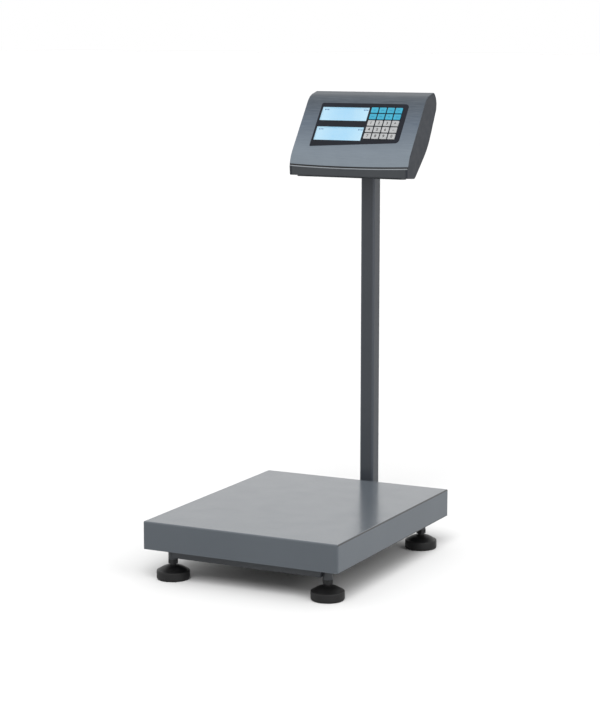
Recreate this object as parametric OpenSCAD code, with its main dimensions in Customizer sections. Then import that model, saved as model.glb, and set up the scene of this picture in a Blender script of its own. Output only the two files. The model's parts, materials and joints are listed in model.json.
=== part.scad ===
// Column-mounted platform shipping scale. The origin is on the floor under the middle of the platter,
// +X is to the operator's right, +Y runs back towards the column and +Z is up. All sizes are in mm.

/* [Platter] */
// Width of the weighing pan, left to right
platter_w = 400; // [396:1:420]
// Depth of the weighing pan, front to back
platter_d = 500; // [496:1:510]
// Height of the pan's top surface above the floor
platter_top = 114; // [114:0.5:116]
// Height of the pan's folded skirt
skirt_h = 53; // [48:1:53]
// Thickness of the pan's sheet steel
sheet = 2; // [1.5:0.25:2]
// Outside radius of the pan's bends
bend_r = 3; // [2.5:0.5:6]

/* [Base frame] */
// Distance between the feet, left to right
foot_span_x = 320; // [316:1:324]
// Distance between the feet, front to back
foot_span_y = 419; // [416:1:422]
// Width and height of the side rails
rail = 30; // [28:1:32]
// Distance from the middle out to the middle of a side rail
rail_x = 140; // [134:1:140]
// Height of the underside of the side rails
rail_bottom = 38; // [37:0.5:38]
// Height of the front and rear cross-bars
crossbar_h = 25; // [23:1:25]
// Wall of every frame tube
tube_wall = 2; // [1.5:0.5:2]

/* [Feet] */
// Radius of a foot pad
pad_r = 31; // [26:1:34]
// Height of the straight side of a foot pad
pad_side_h = 18; // [16:0.5:18]
// Height of a foot pad at its neck
pad_h = 27; // [26.5:0.5:28]
// Radius of the threaded foot stud
stud_r = 6; // [5.5:0.25:6]

/* [Load cell] */
// Length of the load cell
cell_len = 150; // [140:2:160]
// Width of the load cell
cell_w = 40; // [36:1:44]
// Height of the load cell
cell_h = 28; // [27.5:0.5:28]

/* [Column] */
// Width of the square column tube
column_w = 30; // [29:0.5:31]
// Wall of the column tube
column_wall = 1.5; // [1.5:0.25:2]
// Outside corner radius of the column tube
column_r = 4; // [2.5:0.5:4]
// Distance from the middle of the platter back to the column's axis
column_y = 311.6; // [311:0.2:313]
// Height of the column's lower end
column_bottom = 40; // [38:1:41]
// Height of the column's upper end
column_top = 745; // [740:1:745]

/* [Indicator head] */
// Full width of the head over its end cheeks
head_w = 255; // [252:1:260]
// Angle of the head's face above the horizontal, in degrees
head_slope = 54; // [54:0.1:54.2]
// Wall of the front and rear shells
shell_wall = 2.5; // [2:0.25:2.5]
// Thickness of an end cheek
cheek_t = 4.2; // [3:0.2:5]
// Width of the groove between the shells
seam_gap = 1.6; // [1.2:0.2:2]

/* [Keys] */
// Distance between key columns
key_pitch_x = 17.3; // [17.1:0.1:17.4]
// Distance between key rows
key_pitch_y = 15; // [14.9:0.1:15]
// Width of a key cap
key_w = 14.6; // [13:0.2:14.6]
// Height of a key cap, up the face
key_h = 12.4; // [11:0.2:12.4]
// How far a key moves when it is pressed
key_travel = 0.8; // [0.5:0.1:0.8]

/* [Hidden] */
KEY_ROWS = ["a", "b", "c", "d", "e"];
KEY_COLUMNS = 4;

$fn = 48;
// Overlap that makes a cut pass cleanly through a face
cut = 1;
// Radial clearance of a shaft that turns or slides in its hole
run_gap = 0.05;
// Radial clearance of a screw in its thread
thread_gap = 0.02;

// Colours
PAINT = "#6b747b";
DARK_PAINT = "#474c52";
STEEL = "#b4b7ba";
BLACK_OXIDE = "#2a2b2d";
RUBBER = "#1f1f20";
PLASTIC = "#3f444b";
PANEL = "#23272f";
LCD = "#bfe3fb";
CYAN = "#4fcbe6";
IVORY = "#e4e6e7";
BOARD = "#2f6b46";

// Base frame heights and places
foot_x = foot_span_x / 2;
foot_y = foot_span_y / 2;
rail_top = rail_bottom + rail;
crossbar_bottom = rail_top - crossbar_h;
frame_end_y = foot_y + rail / 2;
boss_r = 9;
boss_bite = 2;
drain_r = 3;

// Load path: bar, cell, top frame, rubber pads, platter
cell_bar_t = 10;
cell_bar_d = 60;
cell_bottom = 56;
cell_top = cell_bottom + 2 + cell_h + 2;
cell_foot_len = 40;
cell_bolt_r = 4;
cell_bolt_pitch = 22;
top_rail_w = 25;
top_rail_h = 20;
top_rail_x = rail_x;
top_rail_end_y = 220;
top_plate_t = 8;
rubber_pad_h = 4;
top_frame_top = cell_top + top_rail_h;
support_y = 200;
support_stem_r = 4;
stop_y = 150;
stop_r = 4;
stop_gap = 0.6;

// Feet
ball_r = 9;
ball_floor = 18;
ball_top = 23.5;
stud_top = 58;
locknut_h = 7.6;
locknut_af = 18;

// Column bracket
bracket_t = 4;
bracket_half = 19;
bracket_flange_half = 50;
bracket_low_top = 58;
bracket_high_top = 95;
bracket_bolt_x = 36;
bracket_bolt_z = 50.5;
column_bolt_low = 52;
column_bolt_high = 86;
m8_r = 4;
m8_af = 13;
m8_head_h = 5.3;
cable_r = 2.5;
cable_x = 6.8;
cable_entry_z = 68;
cable_column_y = column_y + column_w / 2 - column_wall - cable_r - 0.3;

// Tilt joint between the column and the head
pivot_z = 775;
fork_r = 8;
fork_in = 8.5;
fork_t = 4;
plug_len = 30;
knob_r = 15;
knob_len = 16;

// Indicator head: the end profile's corners as [up the face, out of the face, radius]
head_y = 197;
head_z = 746.7;
face_w = 0.5;
PROFILE = [
    [6, -47.5, 12],
    [88, -65, 150],
    [190, -52, 28],
    [191.5, -24, 9],
    [163, face_w, 40],
    [22, face_w, 60],
    [3, -6.3, 12],
    [-12, -19, 3]
];
cheek_sunk = 0.3;
shell_half = head_w / 2 - cheek_sunk - cheek_t - 0.3;
part_w0 = -6.1;
part_slope = 0.143;
pivot_u = (column_y - head_y) * cos(head_slope) + (pivot_z - head_z) * sin(head_slope);
pivot_w = -(column_y - head_y) * sin(head_slope) + (pivot_z - head_z) * cos(head_slope);
rear_angle = atan2(PROFILE[1].y - PROFILE[0].y, PROFILE[1].x - PROFILE[0].x);

// Control panel on the face: outline corners as [x, up the face, radius]
PANEL_OUTLINE = [[-93, 44, 2], [96, 56, 8], [96, 146, 8], [-93, 146, 4]];
bezel_t = 1.5;
bezel_proud = 0.3;
bezel_back = face_w + bezel_proud - bezel_t;
display_x = -37.8;
display_w = 102.4;
display_h = 32;
DISPLAY_U = [75, 121];
pane_t = 1.8;
lcd_front = -3;
lcd_t = 2;
lcd_back = -9;
keys_x = 51.9;
keys_u = 100.2;
key_gap = 0.2;
key_proud = 1.2;
key_flange = 1;
key_flange_t = 1;
key_bottom = -4;
board_front = -14.4;
board_t = 1.6;
BOARD_HOLES = [[-98, 58], [98, 58], [-98, 138], [98, 138]];
HOUSING_SCREWS = [[-108, 22], [108, 22], [-108, 165], [108, 165]];

// Battery and its door on the lower rear face; e is the distance up that face
battery_size = [74, 34, 20];
battery_at = [-99, 20, -46];
door_x0 = -100;
door_x1 = -24;
door_e0 = 18;
door_e1 = 56;
door_t = 2.2;
hinge_e = 59.5;
hinge_out = 3.4;
hinge_r = 3;
hinge_pin_r = 1.5;
knuckle_half = 13;
knuckle_reach = 10;

// Power switch and socket in their panel on the lower rear face
power_e = 36;
rocker_x = 58;
rocker_z = 2;
rocker_size = [18, 10, 11];
rocker_pin_r = 1.2;
rocker_box = [26, 17];
power_depth = 13;
socket_x = 88;
socket_r = 5.4;
panel_margin = 3.5;
panel_t = 2;

// Recess in the head's back round the tilt bolt and its knob
pocket_r = 18;
pocket_wall = 2;
pocket_x0 = -20;
pocket_x1 = 33;

// Shallow step along the underside of the head
step_half = 112;
step_w0 = -42;
step_w1 = -22.5;
step_u0 = -20;
step_u1 = 8;
step_h = 2;

// ---- Helpers ----

function unit(v) = v / norm(v);
function left_of(a, b) = let (d = unit(b - a)) [-d.y, d.x];
function flat(p) = [p.x, p.y];

// Corner b of a convex outline, moved inwards by t
function inner_corner(a, b, c, t) =
    let (n = left_of(a, b), m = left_of(b, c)) b + (n + m) * t / (1 + n * m);

// Points of a convex anticlockwise outline of [x, y, radius] corners, moved inwards by t
function rounded(corners, t = 0, steps = 10) =
    let (count = len(corners)) [
        for (i = [0 : count - 1])
            let (
                a = flat(corners[(i + count - 1) % count]),
                b = flat(corners[i]),
                c = flat(corners[(i + 1) % count]),
                r = max(corners[i][2], t + 0.01),
                centre = inner_corner(a, b, c, r),
                from = left_of(a, b),
                sweep = acos(from * left_of(b, c)),
                start = atan2(-from.y, -from.x)
            )
            for (k = [0 : steps])
                centre + (r - t) * [cos(start + sweep * k / steps), sin(start + sweep * k / steps)]
    ];

// Flat rectangle with round corners, centred
module round_rect(w, h, r) {
    square([w - 2 * r, h], center = true);
    square([w, h - 2 * r], center = true);
    for (x = [-1, 1])
        for (y = [-1, 1])
            translate([x * (w / 2 - r), y * (h / 2 - r)])
                circle(r);
}

// Flat rectangle that sits on y = 0 with its two upper corners round
module arch_rect(w, h, r) {
    translate([-w / 2, 0])
        square([w, h - r]);
    translate([-(w / 2 - r), 0])
        square([w - 2 * r, h]);
    for (x = [-1, 1])
        translate([x * (w / 2 - r), h - r])
            circle(r);
}

// Block with round vertical edges and round upper edges
module folded_block(w, d, h, r) {
    intersection() {
        linear_extrude(h)
            round_rect(w, d, r);
        translate([0, d / 2 + cut, 0])
            rotate([90, 0, 0])
                linear_extrude(d + 2 * cut)
                    arch_rect(w, h, r);
        translate([-w / 2 - cut, 0, 0])
            rotate([90, 0, 90])
                linear_extrude(w + 2 * cut)
                    arch_rect(d, h, r);
    }
}

// Steel tube of w by h along +Z, closed at both ends
module closed_tube(length, w, h, wall) {
    linear_extrude(length)
        difference() {
            round_rect(w, h, wall);
            square([w - 2 * wall, h - 2 * wall], center = true);
        }
    for (z = [0, length - wall])
        translate([0, 0, z])
            linear_extrude(wall)
                square([w - wall, h - wall], center = true);
}

// Tube along +X from x0 to x1, with its underside at z
module tube_x(x0, x1, y, z, d, h) {
    translate([x0, y, z + h / 2])
        rotate([90, 0, 90])
            closed_tube(x1 - x0, d, h, tube_wall);
}

// Tube along +Y from y0 to y1, with its underside at z
module tube_y(y0, y1, x, z, w, h) {
    translate([x, y1, z + h / 2])
        rotate([90, 0, 0])
            closed_tube(y1 - y0, w, h, tube_wall);
}

// Hexagon of width af across its flats
module hexagon(af, h) {
    cylinder(h = h, r = af / 2 / cos(30), $fn = 6);
}

// Hexagon bolt along -Z with its head on z = 0
module hex_bolt(r, length, af, head) {
    hexagon(af, head);
    translate([0, 0, -length])
        cylinder(h = length + head / 2, r = r);
}

// Hexagon nut on z = 0
module hex_nut(r, af, h) {
    difference() {
        hexagon(af, h);
        translate([0, 0, -cut])
            cylinder(h = h + 2 * cut, r = r + thread_gap);
    }
}

module at_feet() {
    for (x = [-foot_x, foot_x])
        for (y = [-foot_y, foot_y])
            translate([x, y, 0])
                children();
}

// Places parts on the head: x is right, y is up the face and z is out of the face
module in_head() {
    translate([0, head_y, head_z])
        rotate([head_slope, 0, 0])
            children();
}

// Turns an outline drawn as [up the face, out of the face] into a bar from x0 to x1
module along_x(x0, x1) {
    translate([x0, 0, 0])
        rotate([90, 0, 90])
            linear_extrude(x1 - x0)
                children();
}

// Places parts on the head's lower rear face: y is up that face and z points into the head
module on_rear_face() {
    in_head()
        translate([0, PROFILE[0].x, PROFILE[0].y])
            rotate([rear_angle, 0, 0])
                children();
}

// ---- Base ----

module base_frame() {
    crossbar_end_x = foot_x - boss_r + boss_bite;
    rail_end_y = foot_y - rail / 2 + 1;
    color(DARK_PAINT)
        difference() {
            union() {
                for (x = [-rail_x, rail_x])
                    tube_y(-rail_end_y, rail_end_y, x, rail_bottom, rail, rail);
                for (y = [-foot_y, foot_y])
                    tube_x(-crossbar_end_x, crossbar_end_x, y, crossbar_bottom, rail, crossbar_h);
                translate([-rail_x + rail / 2 - 1, -cell_len / 2 - 10, cell_bottom - cell_bar_t])
                    cube([2 * rail_x - rail + 2, cell_bar_d, cell_bar_t]);
                translate([-cell_w / 2, -cell_len / 2, cell_bottom - 1])
                    cube([cell_w, cell_foot_len, 3]);
                at_feet()
                    translate([0, 0, rail_bottom])
                        cylinder(h = rail, r = boss_r);
            }
            at_feet()
                translate([0, 0, rail_bottom - cut])
                    cylinder(h = rail + 2 * cut, r = stud_r + run_gap);
            for (x = [-top_rail_x, top_rail_x])
                for (y = [-stop_y, stop_y])
                    translate([x, y, rail_top - tube_wall - cut])
                        cylinder(h = tube_wall + 2 * cut, r = stop_r + thread_gap);
            for (x = [-bracket_bolt_x, bracket_bolt_x])
                translate([x, frame_end_y + cut, bracket_bolt_z])
                    rotate([90, 0, 0])
                        cylinder(h = tube_wall + 2 * cut, r = m8_r + thread_gap);
            translate([0, -foot_y, crossbar_bottom - cut])
                cylinder(h = tube_wall + 2 * cut, r = drain_r);
            at_cell_bolts(-1)
                translate([0, 0, cell_bottom - cell_bar_t - cut])
                    cylinder(h = cell_bar_t + 2 + 2 * cut, r = cell_bolt_r + thread_gap);
        }
}

// Bolt places at the cell's fixed end (side -1) or its loaded end (side 1)
module at_cell_bolts(side) {
    for (k = [-1, 1])
        translate([0, side * (cell_len / 2 - cell_foot_len / 2) + k * cell_bolt_pitch / 2, 0])
            children();
}

module foot_locknuts() {
    color(BLACK_OXIDE)
        at_feet()
            translate([0, 0, rail_bottom - locknut_h])
                difference() {
                    hexagon(locknut_af, locknut_h);
                    translate([0, 0, -cut])
                        cylinder(h = locknut_h + 2 * cut, r = stud_r + run_gap);
                }
}

module foot_pad(x, y) {
    edge = 4;
    neck_r = 10;
    rim_r = pad_r - 1.5;
    dome_bulge = 1.2;
    dome_steps = 5;
    dome = [
        for (k = [0 : dome_steps])
            let (t = k / dome_steps) [
                rim_r + t * (neck_r - rim_r),
                pad_side_h + t * (pad_h - pad_side_h) + dome_bulge * sin(180 * t)
            ]
    ];
    color(RUBBER)
        translate([x * foot_x, y * foot_y, 0])
            difference() {
                rotate_extrude($fn = 96)
                    polygon(concat(
                        [[0, 0], [pad_r - 3, 0], [pad_r, edge], [pad_r, pad_side_h - 1.5]],
                        dome,
                        [[0, pad_h]]
                    ));
                translate([0, 0, ball_floor - run_gap])
                    cylinder(h = ball_top - ball_floor + 2 * run_gap, r = ball_r + run_gap);
                translate([0, 0, ball_floor])
                    cylinder(h = pad_h, r = stud_r + run_gap);
            }
}

module foot_stud(x, y) {
    color(BLACK_OXIDE)
        translate([x * foot_x, y * foot_y, 0]) {
            translate([0, 0, ball_floor])
                cylinder(h = ball_top - ball_floor, r = ball_r);
            translate([0, 0, ball_floor + 1])
                cylinder(h = stud_top - ball_floor - 1, r = stud_r);
        }
}

module load_cell() {
    waist_r = 9;
    waist_y = 22;
    slot_h = 8;
    color(STEEL)
        difference() {
            translate([-cell_w / 2, -cell_len / 2, cell_bottom + 2])
                cube([cell_w, cell_len, cell_h]);
            translate([-cell_w / 2 - cut, 0, cell_bottom + 2 + cell_h / 2])
                rotate([90, 0, 90])
                    linear_extrude(cell_w + 2 * cut) {
                        for (y = [-waist_y, waist_y])
                            translate([y, 0])
                                circle(waist_r);
                        square([2 * waist_y, slot_h], center = true);
                    }
            at_cell_bolts(-1)
                translate([0, 0, cell_bottom])
                    cylinder(h = 16, r = cell_bolt_r + thread_gap);
            at_cell_bolts(1)
                translate([0, 0, cell_top - 16])
                    cylinder(h = 16, r = cell_bolt_r + thread_gap);
        }
}

module cell_lower_bolts() {
    head_h = 6;
    color(STEEL)
        at_cell_bolts(-1)
            translate([0, 0, cell_bottom - cell_bar_t])
                mirror([0, 0, 1])
                    hex_bolt(cell_bolt_r, cell_bar_t + 12, m8_af, head_h);
}

module cell_upper_bolts() {
    color(STEEL)
        at_cell_bolts(1)
            translate([0, 0, cell_top + top_plate_t])
                hex_bolt(cell_bolt_r, top_plate_t + 12, m8_af, m8_head_h);
}

module top_frame() {
    cross_y = top_rail_end_y - top_rail_w / 2;
    color(DARK_PAINT)
        difference() {
            union() {
                for (x = [-top_rail_x, top_rail_x])
                    tube_y(-top_rail_end_y, top_rail_end_y, x, cell_top, top_rail_w, top_rail_h);
                for (y = [-cross_y, cross_y])
                    tube_x(
                        -top_rail_x + top_rail_w / 2 - 1, top_rail_x - top_rail_w / 2 + 1,
                        y, cell_top, top_rail_w, top_rail_h
                    );
                translate([-top_rail_x + top_rail_w / 2 - 1, cell_len / 2 - cell_foot_len - 10, cell_top])
                    cube([2 * top_rail_x - top_rail_w + 2, cell_bar_d, top_plate_t]);
                translate([-cell_w / 2, cell_len / 2 - cell_foot_len, cell_top - 2])
                    cube([cell_w, cell_foot_len, 3]);
            }
            at_cell_bolts(1)
                translate([0, 0, cell_top - 2 - cut])
                    cylinder(h = top_plate_t + 2 + 2 * cut, r = cell_bolt_r + thread_gap);
            at_supports()
                translate([0, 0, top_frame_top - tube_wall - cut])
                    cylinder(h = tube_wall + 2 * cut, r = support_stem_r + thread_gap);
            for (y = [-cross_y, cross_y])
                translate([0, y, cell_top - cut])
                    cylinder(h = tube_wall + 2 * cut, r = drain_r);
        }
}

module at_supports() {
    for (x = [-top_rail_x, top_rail_x])
        for (y = [-support_y, support_y])
            translate([x, y, 0])
                children();
}

module support_pads() {
    color(RUBBER)
        at_supports() {
            translate([0, 0, top_frame_top])
                cylinder(h = rubber_pad_h, r = 12);
            translate([0, 0, top_frame_top - 6])
                cylinder(h = 7, r = support_stem_r);
        }
}

module overload_stops() {
    nut_h = 6.5;
    color(STEEL)
        for (x = [-top_rail_x, top_rail_x])
            for (y = [-stop_y, stop_y])
                translate([x, y, 0]) {
                    translate([0, 0, rail_top - 8])
                        cylinder(h = cell_top - stop_gap - rail_top + 8, r = stop_r);
                    translate([0, 0, rail_top])
                        hex_nut(stop_r, m8_af, nut_h);
                }
}

module platter() {
    color(PAINT)
        translate([0, 0, platter_top - skirt_h])
            difference() {
                folded_block(platter_w, platter_d, skirt_h, bend_r);
                translate([0, 0, -cut])
                    folded_block(platter_w - 2 * sheet, platter_d - 2 * sheet, skirt_h - sheet + cut, bend_r - sheet);
            }
}

// ---- Column ----

module column_bracket() {
    column_front = column_y - column_w / 2;
    color(DARK_PAINT)
        difference() {
            union() {
                for (x = [-bracket_half, bracket_half - bracket_t])
                    along_x(x, x + bracket_t)
                        polygon([
                            [frame_end_y, crossbar_bottom],
                            [column_front, crossbar_bottom],
                            [column_front, bracket_high_top],
                            [column_front - 14, bracket_high_top],
                            [column_front - 36, bracket_low_top],
                            [frame_end_y, bracket_low_top]
                        ]);
                translate([-bracket_half, column_front - bracket_t, crossbar_bottom])
                    cube([2 * bracket_half, bracket_t, bracket_high_top - crossbar_bottom]);
                for (x = [-bracket_flange_half, bracket_half - bracket_t])
                    translate([x, frame_end_y, crossbar_bottom])
                        cube([
                            bracket_flange_half - bracket_half + bracket_t, bracket_t,
                            bracket_low_top - crossbar_bottom
                        ]);
            }
            for (x = [-bracket_bolt_x, bracket_bolt_x])
                translate([x, frame_end_y + bracket_t + cut, bracket_bolt_z])
                    rotate([90, 0, 0])
                        cylinder(h = bracket_t + 2 * cut, r = m8_r + thread_gap);
            at_column_holes()
                cylinder(h = bracket_t + 2 * cut, r = m8_r + thread_gap);
            translate([cable_x, column_front + cut, cable_entry_z])
                rotate([90, 0, 0])
                    cylinder(h = bracket_t + 2 * cut, r = cable_r + 1);
        }
}

// The two bolt places on the column's front face, looking along -Y
module at_column_holes() {
    for (z = [column_bolt_low, column_bolt_high])
        translate([0, column_y - column_w / 2 + cut, z])
            rotate([90, 0, 0])
                children();
}

module bracket_bolts() {
    color(STEEL)
        for (x = [-bracket_bolt_x, bracket_bolt_x])
            translate([x, frame_end_y + bracket_t, bracket_bolt_z])
                rotate([-90, 0, 0])
                    hex_bolt(m8_r, 16, m8_af, m8_head_h);
}

module column() {
    color(PAINT)
        difference() {
            translate([0, column_y, column_bottom])
                linear_extrude(column_top - column_bottom)
                    difference() {
                        round_rect(column_w, column_w, column_r);
                        round_rect(column_w - 2 * column_wall, column_w - 2 * column_wall, column_r - column_wall);
                    }
            for (z = [column_bolt_low, column_bolt_high])
                translate([0, column_y + column_w / 2 + cut, z])
                    rotate([90, 0, 0])
                        cylinder(h = column_w + 2 * cut, r = m8_r + thread_gap);
            translate([cable_x, column_y, cable_entry_z])
                rotate([90, 0, 0])
                    cylinder(h = column_w, r = cable_r + 1);
        }
}

module column_bolts() {
    nut_y = column_y - column_w / 2 - bracket_t;
    color(STEEL)
        for (z = [column_bolt_low, column_bolt_high]) {
            translate([0, column_y + column_w / 2, z])
                rotate([-90, 0, 0])
                    hex_bolt(m8_r, column_w + bracket_t + 10, m8_af, m8_head_h);
            translate([0, nut_y, z])
                rotate([90, 0, 0])
                    hex_nut(m8_r, m8_af, 6.5);
        }
}

module mast_bracket() {
    plug_w = column_w - 2 * column_wall - 0.1;
    plate_t = 3;
    color(DARK_PAINT)
        difference() {
            union() {
                translate([0, column_y, column_top - plug_len])
                    linear_extrude(plug_len + 0.5)
                        round_rect(plug_w, plug_w, column_r - column_wall);
                translate([0, column_y, column_top])
                    linear_extrude(plate_t)
                        round_rect(column_w + 2, column_w + 2, column_r);
                for (x = [-fork_in - fork_t, fork_in])
                    along_x(x, x + fork_t) {
                        translate([column_y - fork_r, column_top + 1])
                            square([2 * fork_r, pivot_z - column_top - 1]);
                        translate([column_y, pivot_z])
                            circle(fork_r);
                    }
            }
            translate([-fork_in - fork_t - cut, column_y, pivot_z])
                rotate([0, 90, 0])
                    cylinder(h = 2 * (fork_in + fork_t + cut), r = m8_r + thread_gap);
            translate([cable_x, cable_column_y, column_top - plug_len - cut])
                cylinder(h = plug_len + plate_t + 2 * cut, r = cable_r + 0.3);
        }
}

module tilt_bolt() {
    color(STEEL)
        translate([-fork_in - fork_t, column_y, pivot_z])
            rotate([0, -90, 0])
                hex_bolt(m8_r, 2 * (fork_in + fork_t) + knob_len, m8_af, m8_head_h);
}

// Star knob on the free end of the tilt bolt
module tilt_knob() {
    lobes = 6;
    collar_h = 5;
    color(RUBBER)
        translate([fork_in + fork_t + 0.2, column_y, pivot_z])
            rotate([0, 90, 0])
                difference() {
                    union() {
                        cylinder(h = collar_h + 1, r = 8);
                        translate([0, 0, collar_h])
                            linear_extrude(knob_len - collar_h + 1)
                                union() {
                                    circle(knob_r - 3.5);
                                    for (k = [0 : lobes - 1])
                                        rotate([0, 0, (k + 0.5) * 360 / lobes])
                                            translate([knob_r - 4, 0])
                                                circle(4);
                                }
                    }
                    translate([0, 0, -cut])
                        cylinder(h = knob_len - 0.2 + cut, r = m8_r + run_gap);
                }
}

// Round bar between two points
module bar(a, b, r) {
    d = b - a;
    translate(a)
        rotate([0, acos(d.z / norm(d)), atan2(d.y, d.x)])
            cylinder(h = norm(d), r = r, $fn = 24);
}

module signal_cable() {
    run_z = rail_top + 4;
    drop_y = frame_end_y + 11;
    low_z = 52.5;
    turn_y = column_y - column_w / 2 - 14;
    path = [
        [cell_w / 2 + 0.5, -cell_len / 2 + 15, run_z],
        [cell_w, -cell_len / 2 + 15, run_z],
        [cell_w, drop_y, run_z],
        [cable_x, drop_y, run_z],
        [cable_x, drop_y, low_z],
        [cable_x, turn_y, low_z],
        [cable_x, turn_y, cable_entry_z],
        [cable_x, cable_column_y, cable_entry_z],
        [cable_x, cable_column_y, column_top + 12]
    ];
    color(RUBBER) {
        for (k = [0 : len(path) - 2])
            bar(path[k], path[k + 1], cable_r);
        for (k = [1 : len(path) - 2])
            translate(path[k])
                sphere(cable_r, $fn = 24);
    }
}

// ---- Indicator head ----

function part_w(u) = part_w0 - part_slope * u;

// Outline of the head inside the outer skin by t
module head_outline(t = 0) {
    polygon(rounded(PROFILE, t));
}

// The half of the profile plane in front of the parting line, moved out by gap
module front_of_parting(gap = 0) {
    reach = 260;
    polygon([
        [-reach, part_w(-reach) + gap],
        [reach, part_w(reach) + gap],
        [reach, reach],
        [-reach, reach]
    ]);
}

// Flat block on the face, centred at x and u, from w0 to w1
module face_block(x, u, w, h, w0, w1) {
    translate([x - w / 2, u - h / 2, w0])
        cube([w, h, w1 - w0]);
}

module front_shell() {
    screw_bore = 2 + thread_gap;
    color(PAINT)
        in_head()
            difference() {
                union() {
                    along_x(-head_w / 2, head_w / 2)
                        difference() {
                            intersection() {
                                head_outline();
                                front_of_parting();
                            }
                            head_outline(shell_wall);
                        }
                    for (hole = BOARD_HOLES)
                        translate([hole.x, hole.y, board_front])
                            cylinder(h = -board_front - 1, r = 3.5);
                    for (screw = HOUSING_SCREWS)
                        intersection() {
                            translate([screw.x, screw.y, part_w(screw.y) + 1])
                                cylinder(h = 60, r = 4.5);
                            along_x(-shell_half, shell_half)
                                head_outline(shell_wall / 2);
                        }
                }
                translate([0, 0, bezel_back])
                    linear_extrude(10)
                        polygon(rounded(PANEL_OUTLINE, -0.2));
                for (u = DISPLAY_U)
                    face_block(display_x, u, display_w + 2.6, display_h + 2.6, -8, 5);
                face_block(
                    keys_x, keys_u,
                    3 * key_pitch_x + key_w + 3, 4 * key_pitch_y + key_h + 3, -8, 5
                );
                for (hole = BOARD_HOLES)
                    translate([hole.x, hole.y, board_front - cut])
                        cylinder(h = 10, r = 1.4 + thread_gap);
                for (screw = HOUSING_SCREWS)
                    translate([screw.x, screw.y, part_w(screw.y)])
                        cylinder(h = 9, r = screw_bore);
            }
}

// The recess round the tilt bolt, larger by t, from x0 to x1
module pivot_pocket(x0, x1, t = 0) {
    along_x(x0, x1) {
        translate([pivot_u, pivot_w])
            circle(pocket_r + t);
        translate([pivot_u - pocket_r - t, pivot_w - 2 * pocket_r])
            square([2 * (pocket_r + t), 2 * pocket_r]);
    }
}

module rear_shell() {
    lug_half = fork_in - 0.1;
    lug_r = 8;
    wall_half = 1;
    color(PLASTIC)
        difference() {
            in_head()
                difference() {
                    union() {
                        along_x(-shell_half, shell_half)
                            difference() {
                                head_outline();
                                head_outline(shell_wall);
                                front_of_parting(-seam_gap);
                            }
                        along_x(-step_half, step_half)
                            intersection() {
                                difference() {
                                    head_outline(-step_h);
                                    head_outline(shell_wall / 2);
                                }
                                translate([step_u0, step_w0])
                                    square([step_u1 - step_u0, step_w1 - step_w0]);
                            }
                        for (screw = HOUSING_SCREWS)
                            intersection() {
                                translate([screw.x, screw.y, -80])
                                    cylinder(h = 80 + part_w(screw.y) - seam_gap - 1, r = 5);
                                along_x(-shell_half, shell_half)
                                    head_outline(shell_wall / 2);
                            }
                        for (x = [battery_at.x - 2.5, battery_at.x + battery_size.x + 2.5])
                            intersection() {
                                translate([x - wall_half, battery_at.y, -80])
                                    cube([2 * wall_half, battery_size.y + 4, 52]);
                                along_x(-shell_half, shell_half)
                                    head_outline(shell_wall / 2);
                            }
                        intersection() {
                            pivot_pocket(pocket_x0 - pocket_wall, pocket_x1 + pocket_wall, pocket_wall);
                            along_x(-shell_half, shell_half)
                                head_outline(shell_wall / 2);
                        }
                    }
                    difference() {
                        pivot_pocket(pocket_x0, pocket_x1);
                        along_x(-lug_half, lug_half) {
                            translate([pivot_u, pivot_w])
                                circle(lug_r);
                            translate([pivot_u - lug_r, pivot_w])
                                square([2 * lug_r, pocket_r + 1]);
                        }
                    }
                    translate([-lug_half - cut, pivot_u, pivot_w])
                        rotate([0, 90, 0])
                            cylinder(h = 2 * (lug_half + cut), r = m8_r + run_gap);
                    for (screw = HOUSING_SCREWS)
                        translate([screw.x, screw.y, -90]) {
                            cylinder(h = 90, r = 2.3);
                            cylinder(h = 42, r = 4.2);
                        }
                }
            on_rear_face() {
                translate([door_x0 - 0.4, door_e0 - 0.4, -8])
                    cube([door_x1 - door_x0 + 0.8, door_e1 - door_e0 + 0.8, 13]);
                translate([rocker_x, power_e, 0])
                    cube([rocker_box.x + 1, rocker_box.y + 1, 2 * power_depth], center = true);
                translate([socket_x, power_e, -power_depth])
                    cylinder(h = 2 * power_depth, r = socket_r + 0.4);
            }
        }
    color(PLASTIC)
        rear_shell_knuckles();
}

// Hinge knuckles that carry the battery door's pin
module rear_shell_knuckles() {
    mid = (door_x0 + door_x1) / 2;
    for (x = [mid - knuckle_half - knuckle_reach - 0.3, mid + knuckle_half + 0.3])
        on_rear_face()
            along_x(x, x + knuckle_reach)
                difference() {
                    union() {
                        translate([hinge_e, -hinge_out])
                            circle(hinge_r);
                        translate([hinge_e - 2.2, -hinge_out])
                            square([hinge_r + 2.2, hinge_out + 1.8]);
                    }
                    translate([hinge_e, -hinge_out])
                        circle(hinge_pin_r + run_gap);
                }
}

module battery_door() {
    mid = (door_x0 + door_x1) / 2;
    color(PLASTIC)
        on_rear_face() {
            translate([door_x0, door_e0, 0])
                cube([door_x1 - door_x0, door_e1 - door_e0, door_t]);
            along_x(mid - knuckle_half, mid + knuckle_half) {
                translate([hinge_e, -hinge_out])
                    circle(hinge_r);
                translate([door_e1 - 6, -hinge_out - 1.4])
                    square([hinge_e - door_e1 + 6, hinge_out + 1.2]);
                translate([door_e1 - 6, -0.5])
                    square([6, 1]);
            }
            along_x(mid - knuckle_half - knuckle_reach, mid + knuckle_half + knuckle_reach)
                translate([hinge_e, -hinge_out])
                    circle(hinge_pin_r);
            for (k = [0 : 4])
                translate([mid - 12, door_e0 + 4 + 2.4 * k, -0.8])
                    cube([24, 1.2, 1]);
        }
}

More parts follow.
